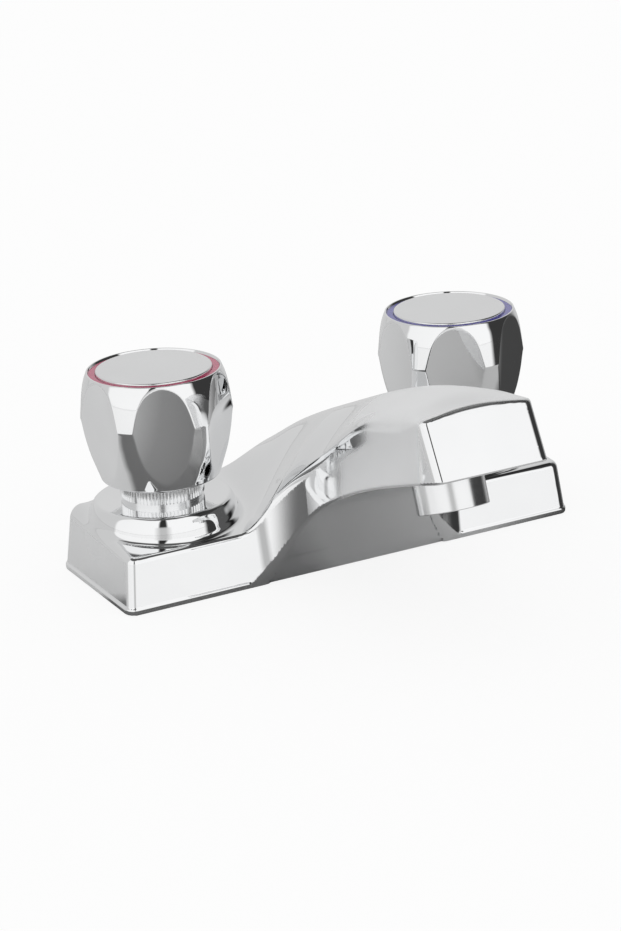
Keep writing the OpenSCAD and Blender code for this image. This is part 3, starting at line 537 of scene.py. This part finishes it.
def knob_mesh(name, centre, turn):
    """Handle: turned profile cut by scooped facets, with the recess and the hollow foot."""
    turns = 720
    angle = np.linspace(0, 2 * math.pi, turns, endpoint=False)
    pitch = 2 * math.pi / FACETS
    phi = (angle + math.pi / 2 - math.radians(turn) + pitch / 2) % pitch - pitch / 2
    rows = []
    for r, z in knob_profile():
        cut = scoop_radius(phi, z)
        if z < HANDLE_Z + FOOT_ROUND and r < FOOT_R:
            radius = np.minimum(r, cut)
        else:
            gap = np.clip(0.5 + 0.5 * (cut - r) / SCOOP_BLEND, 0, 1)
            radius = mix(cut, r, gap) - SCOOP_BLEND * gap * (1 - gap)
        rows.append(ring_points(radius, angle, z))
    rows += [ring_points(r, angle, z) for r, z in knob_inside()]
    return grid_mesh(name, np.array(rows) + np.array(centre))


# Shader nodes

def math_node(tree, operation, a, b=None):
    """Math node on numbers or sockets."""
    node = tree.nodes.new("ShaderNodeMath")
    node.operation = operation
    for i, value in enumerate((a, b)):
        if value is None:
            continue
        if isinstance(value, (int, float)):
            node.inputs[i].default_value = value
        else:
            tree.links.new(value, node.inputs[i])
    return node.outputs["Value"]


def span_node(tree, source, low, high):
    """Smooth step from 0 at low to 1 at high."""
    node = tree.nodes.new("ShaderNodeMapRange")
    node.interpolation_type = "SMOOTHSTEP"
    node.inputs["From Min"].default_value = low
    node.inputs["From Max"].default_value = high
    tree.links.new(source, node.inputs["Value"])
    return node.outputs["Result"]


def product(tree, factors):
    """Product of several sockets."""
    total = factors[0]
    for factor in factors[1:]:
        total = math_node(tree, "MULTIPLY", total, factor)
    return total


def mix_node(tree, fac, a, b):
    """Mix of two colours, each a socket or a grey."""
    node = tree.nodes.new("ShaderNodeMix")
    node.data_type = "RGBA"
    tree.links.new(fac, node.inputs["Factor"])
    for socket, value in ((node.inputs[6], a), (node.inputs[7], b)):
        if isinstance(value, (int, float)):
            socket.default_value = (value, value, value, 1)
        else:
            tree.links.new(value, socket)
    return node.outputs[2]


def mix_shader(tree, fac, a, b):
    """Mix of two shaders: a where fac is 0, b where it is 1."""
    node = tree.nodes.new("ShaderNodeMixShader")
    for i, source in enumerate((fac, a, b)):
        tree.links.new(source, node.inputs[i])
    return node.outputs["Shader"]


def band_ramp(tree, stops, source):
    """Grey round the studio, read at a share of a turn."""
    ramp = tree.nodes.new("ShaderNodeValToRGB")
    items = ramp.color_ramp.elements
    items.remove(items[1])
    for degrees, grey in stops:
        item = items[0] if degrees == -180 else items.new((degrees + 180) / 360)
        item.color = (grey, grey, grey, 1)
    tree.links.new(source, ramp.inputs["Fac"])
    return ramp.outputs["Color"]


def azimuth_share(tree, vector):
    """Share of a turn round the object, with the camera at 0.5, and the height of a vector."""
    split = tree.nodes.new("ShaderNodeSeparateXYZ")
    turn = tree.nodes.new("ShaderNodeVectorRotate")
    turn.rotation_type = "Z_AXIS"
    turn.inputs["Angle"].default_value = -CAMERA_AZ
    tree.links.new(vector, turn.inputs["Vector"])
    tree.links.new(turn.outputs["Vector"], split.inputs["Vector"])
    forward = math_node(tree, "MULTIPLY", split.outputs["Y"], -1.0)
    azimuth = math_node(tree, "ARCTAN2", split.outputs["X"], forward)
    share = math_node(tree, "ADD", math_node(tree, "DIVIDE", azimuth, 2 * math.pi), 0.5)
    return share, split.outputs["Z"]


# Materials

def material(name, colour, metallic, rough, noise_scale, spread, coat=0.0):
    """Principled material whose roughness varies a little over the surface."""
    mat = bpy.data.materials.new(name)
    mat.use_nodes = True
    tree = mat.node_tree
    shader = tree.nodes["Principled BSDF"]
    shader.inputs["Metallic"].default_value = metallic
    shader.inputs["Coat Weight"].default_value = coat
    coords = tree.nodes.new("ShaderNodeTexCoord")
    noise = tree.nodes.new("ShaderNodeTexNoise")
    noise.inputs["Scale"].default_value = noise_scale
    noise.inputs["Detail"].default_value = 3
    tree.links.new(coords.outputs["Object"], noise.inputs["Vector"])
    span = tree.nodes.new("ShaderNodeMapRange")
    span.inputs["To Min"].default_value = rough
    span.inputs["To Max"].default_value = rough + spread
    tree.links.new(noise.outputs["Fac"], span.inputs["Value"])
    tree.links.new(span.outputs["Result"], shader.inputs["Roughness"])
    tone = tree.nodes.new("ShaderNodeValToRGB")
    darker, full = tone.color_ramp.elements
    darker.position, full.position = 0.3, 0.7
    darker.color = (*[c * 0.97 for c in colour], 1)
    full.color = (*colour, 1)
    tree.links.new(noise.outputs["Fac"], tone.inputs["Fac"])
    tree.links.new(tone.outputs["Color"], shader.inputs["Base Color"])
    return mat


def soften_arm(mat):
    """Chrome that turns satin along the arm, all but a bright strip at its upper edge."""
    tree = mat.node_tree
    shader = tree.nodes["Principled BSDF"]
    bright = shader.inputs["Roughness"].links[0].from_socket
    coords = tree.nodes.new("ShaderNodeTexCoord")
    split = tree.nodes.new("ShaderNodeSeparateXYZ")
    tree.links.new(coords.outputs["Object"], split.inputs["Vector"])
    across, way = math_node(tree, "ABSOLUTE", split.outputs["X"]), split.outputs["Y"]
    fall = math_node(tree, "MULTIPLY", way, CREASE_SLOPE)
    level = math_node(tree, "ADD", split.outputs["Z"], fall)
    satin = product(tree, [span_node(tree, way, *SATIN_BACK),
                           span_node(tree, way, *SATIN_FRONT),
                           span_node(tree, across, *SATIN_SIDE)])
    strip = product(tree, [span_node(tree, level, *CREASE_LOW),
                           span_node(tree, level, *CREASE_HIGH),
                           span_node(tree, across, *CREASE_SIDE),
                           span_node(tree, way, *CREASE_END)])
    share = math_node(tree, "MULTIPLY", satin, math_node(tree, "SUBTRACT", 1.0, strip))
    blend = tree.nodes.new("ShaderNodeMix")
    blend.inputs["B"].default_value = SATIN
    tree.links.new(share, blend.inputs["Factor"])
    tree.links.new(bright, blend.inputs["A"])
    tree.links.new(blend.outputs["Result"], shader.inputs["Roughness"])
    lost = math_node(tree, "MULTIPLY", share, SATIN_HAZE)
    tree.links.new(math_node(tree, "SUBTRACT", 1.0, lost), shader.inputs["Metallic"])


MATERIALS = {
    "chrome_body": material("chrome_body", (0.93, 0.935, 0.94), 1, 0.015, 40, 0.02),
    "chrome_handle": material("chrome_handle", (0.93, 0.935, 0.94), 1, 0.02, 60, 0.02),
    "chrome_trim": material("chrome_trim", (0.92, 0.925, 0.93), 1, 0.16, 60, 0.06),
    "brass": material("brass", (0.78, 0.62, 0.32), 1, 0.25, 90, 0.12),
    "copper": material("copper", (0.80, 0.48, 0.33), 1, 0.22, 90, 0.12),
    "steel": material("steel", (0.62, 0.63, 0.65), 1, 0.28, 120, 0.1),
    "rubber": material("rubber", (0.03, 0.03, 0.032), 0, 0.6, 150, 0.2),
    "white_plastic": material("white_plastic", (0.8, 0.8, 0.79), 0, 0.4, 90, 0.1),
    "red_plastic": material("red_plastic", (0.50, 0.03, 0.12), 0, 0.15, 120, 0.06, 0.6),
    "blue_plastic": material("blue_plastic", (0.06, 0.05, 0.36), 0, 0.15, 120, 0.06, 0.6),
}
soften_arm(MATERIALS["chrome_body"])
SLOT_OF = {s["node"]: s["material_slot"] for s in frame["record"]["subparts"]}


def dress(obj, slot):
    """Give an object the one material of its slot."""
    obj.data.materials.clear()
    obj.data.materials.append(MATERIALS[slot])


def place(obj, node, body):
    """The piece stands for a CAD node, with its finish and its body."""
    dress(obj, SLOT_OF[node])
    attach(obj, body)
    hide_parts(node)


# Pieces: the CAD nodes get their finish, then the dressed pieces stand for nine of them

for node, obj in frame["nodes"].items():
    dress(obj, SLOT_OF[node])

place(net_mesh("shell", shell_field, SHELL_LOW, SHELL_HIGH, STEP), "body_shell", "base")
place(net_mesh("underside", panel_field, PANEL_LOW, PANEL_HIGH, STEP), "spout_underside", "base")


def make_collar():
    """Outlet collar, square to the lip line."""
    y, z, tilt = outlet_place()
    top = PANEL_INSET + PANEL_T + 3
    bore = OUTLET_R - OUTLET_WALL
    line = [(bore, -OUTLET_LENGTH), (OUTLET_R, -OUTLET_LENGTH), (OUTLET_R, top),
            (TUBE_SOCKET_R, top), (TUBE_SOCKET_R, top - TUBE_SOCKET_H), (bore, -AERATOR_SEAT)]
    place(lathe("collar", rounded(line, 0.3), (0, y, z), 160, tilt), "outlet_collar", "base")


def make_handle(name, side, turn):
    """Handle with its cap disc and index ring."""
    body = name + "_handle"
    centre = (side * AXIS_X, AXIS_Y, 0)
    place(knob_mesh(name + "_handle_skin", centre, -turn), name + "_knob", body)
    top = HANDLE_TOP + CAP_RISE
    line = rounded([(-CAP_R, RECESS_Z), (CAP_R, RECESS_Z), (CAP_R, top), (-CAP_R, top)], CAP_ROUND)
    line = [(0.001, RECESS_Z), (0.05, RECESS_Z)] + [(r, z) for r, z in line if r > 0]
    line += [(0.05, top), (0.001, top)]
    place(lathe(name + "_cap_disc", line, centre), name + "_cap", body)
    near, far = CAP_R + RING_GAP, RIM_R - RIM_WALL - RING_GAP
    line = [(near, RECESS_Z), (far, RECESS_Z), (far, RECESS_Z + RING_H), (near, RECESS_Z + RING_H)]
    place(lathe(name + "_ring", rounded(line, RING_ROUND), centre), name + "_index_ring", body)


make_collar()
make_handle("hot", -1, 19)
make_handle("cold", 1, 26)


# Floor, world and camera

def painted_floor_reflection(tree):
    """The floor as the chrome mirrors it: painted shade and light toned round the object, and
    glossy at a low angle.
    """
    coords = tree.nodes.new("ShaderNodeTexCoord")
    share, _ = azimuth_share(tree, coords.outputs["Object"])
    painted_matt = tree.nodes.new("ShaderNodeBsdfDiffuse")
    # Painted shade and light: the floor's grey in the chrome's reflections, set round the object
    tree.links.new(band_ramp(tree, PAINTED_FLOOR_SHADE, share), painted_matt.inputs["Color"])
    gloss = tree.nodes.new("ShaderNodeBsdfGlossy")
    gloss.inputs["Color"].default_value = (0.95, 0.95, 0.95, 1)
    gloss.inputs["Roughness"].default_value = 0.1
    slant = tree.nodes.new("ShaderNodeLayerWeight")
    slant.inputs["Blend"].default_value = 0.5
    low_angle = span_node(tree, slant.outputs["Facing"], *GLOSS_EDGE)
    return mix_shader(tree, low_angle, painted_matt.outputs["BSDF"], gloss.outputs["BSDF"])


def floor_material():
    """Pale floor, see-through from below, with painted shade and light where the chrome mirrors
    it.
    """
    mat = bpy.data.materials.new("floor")
    mat.use_nodes = True
    tree = mat.node_tree
    shader = tree.nodes["Principled BSDF"]
    shader.inputs["Base Color"].default_value = (0.9, 0.9, 0.9, 1)
    shader.inputs["Roughness"].default_value = 0.9
    shader.inputs["Specular IOR Level"].default_value = 0
    glow = tree.nodes.new("ShaderNodeEmission")
    glow.inputs["Strength"].default_value = 1
    glow.inputs["Color"].default_value = (1, 1, 1, 1)
    ray = tree.nodes.new("ShaderNodeLightPath")
    share = math_node(tree, "MULTIPLY", ray.outputs["Is Camera Ray"], FLOOR_GLOW)
    pale = mix_shader(tree, share, shader.outputs["BSDF"], glow.outputs["Emission"])
    seen = mix_shader(tree, ray.outputs["Is Glossy Ray"], pale, painted_floor_reflection(tree))
    clear = tree.nodes.new("ShaderNodeBsdfTransparent")
    side = tree.nodes.new("ShaderNodeNewGeometry")
    last = mix_shader(tree, side.outputs["Backfacing"], seen, clear.outputs["BSDF"])
    tree.links.new(last, tree.nodes["Material Output"].inputs["Surface"])
    return mat


def make_floor():
    """Wide floor at the height of the deck."""
    low, high = -FLOOR_HALF, FLOOR_HALF
    mesh = bpy.data.meshes.new("floor")
    corners = [(low, low, 0), (high, low, 0), (high, high, 0), (low, high, 0)]
    mesh.from_pydata(corners, [], [(0, 1, 2, 3)])
    floor = bpy.data.objects.new("floor", mesh)
    bpy.context.scene.collection.objects.link(floor)
    floor.data.materials.append(floor_material())


def studio_world():
    """Studio of large soft panels with dark gaps, told by direction, and a white backdrop."""
    world = bpy.data.worlds.new("studio")
    bpy.context.scene.world = world
    world.use_nodes = True
    tree = world.node_tree
    back = tree.nodes["Background"]
    coords = tree.nodes.new("ShaderNodeTexCoord")
    share, up = azimuth_share(tree, coords.outputs["Generated"])
    height = math_node(tree, "ARCSINE", up)
    sky = band_ramp(tree, HORIZON_BAND, share)
    for edge, band in ((HORIZON_EDGE, LOW_BAND), (BAND_EDGE, HIGH_BAND)):
        upper = band_ramp(tree, band, share)
        sky = mix_node(tree, span_node(tree, height, *edge), sky, upper)
    sky = mix_node(tree, span_node(tree, height, *CEILING_EDGE), sky, CEILING)
    ray = tree.nodes.new("ShaderNodeLightPath")
    sky = mix_node(tree, ray.outputs["Is Diffuse Ray"], sky, SOFT_LIGHT)
    sky = mix_node(tree, ray.outputs["Is Camera Ray"], sky, 1)
    tree.links.new(sky, back.inputs["Color"])
    back.inputs["Strength"].default_value = 1


def camera():
    """Camera fitted to the photo."""
    data = bpy.data.cameras.new("camera")
    data.lens = LENS
    data.sensor_width = 36
    data.clip_end = 50
    obj = bpy.data.objects.new("camera", data)
    bpy.context.scene.collection.objects.link(obj)
    a, e, r = CAMERA_AZ, CAMERA_EL, CAMERA_ROLL
    back = Vector((math.sin(a) * math.cos(e), -math.cos(a) * math.cos(e), math.sin(e)))
    level = Vector((math.cos(a), math.sin(a), 0))
    upright = back.cross(level)
    right = level * math.cos(r) - upright * math.sin(r)
    up = level * math.sin(r) + upright * math.cos(r)
    turn = Matrix((right, up, back)).transposed().to_4x4()
    obj.matrix_world = Matrix.Translation(CAMERA_PLACE) @ turn
    bpy.context.scene.camera = obj


make_floor()
studio_world()
camera()
bpy.context.scene.view_settings.view_transform = "Standard"
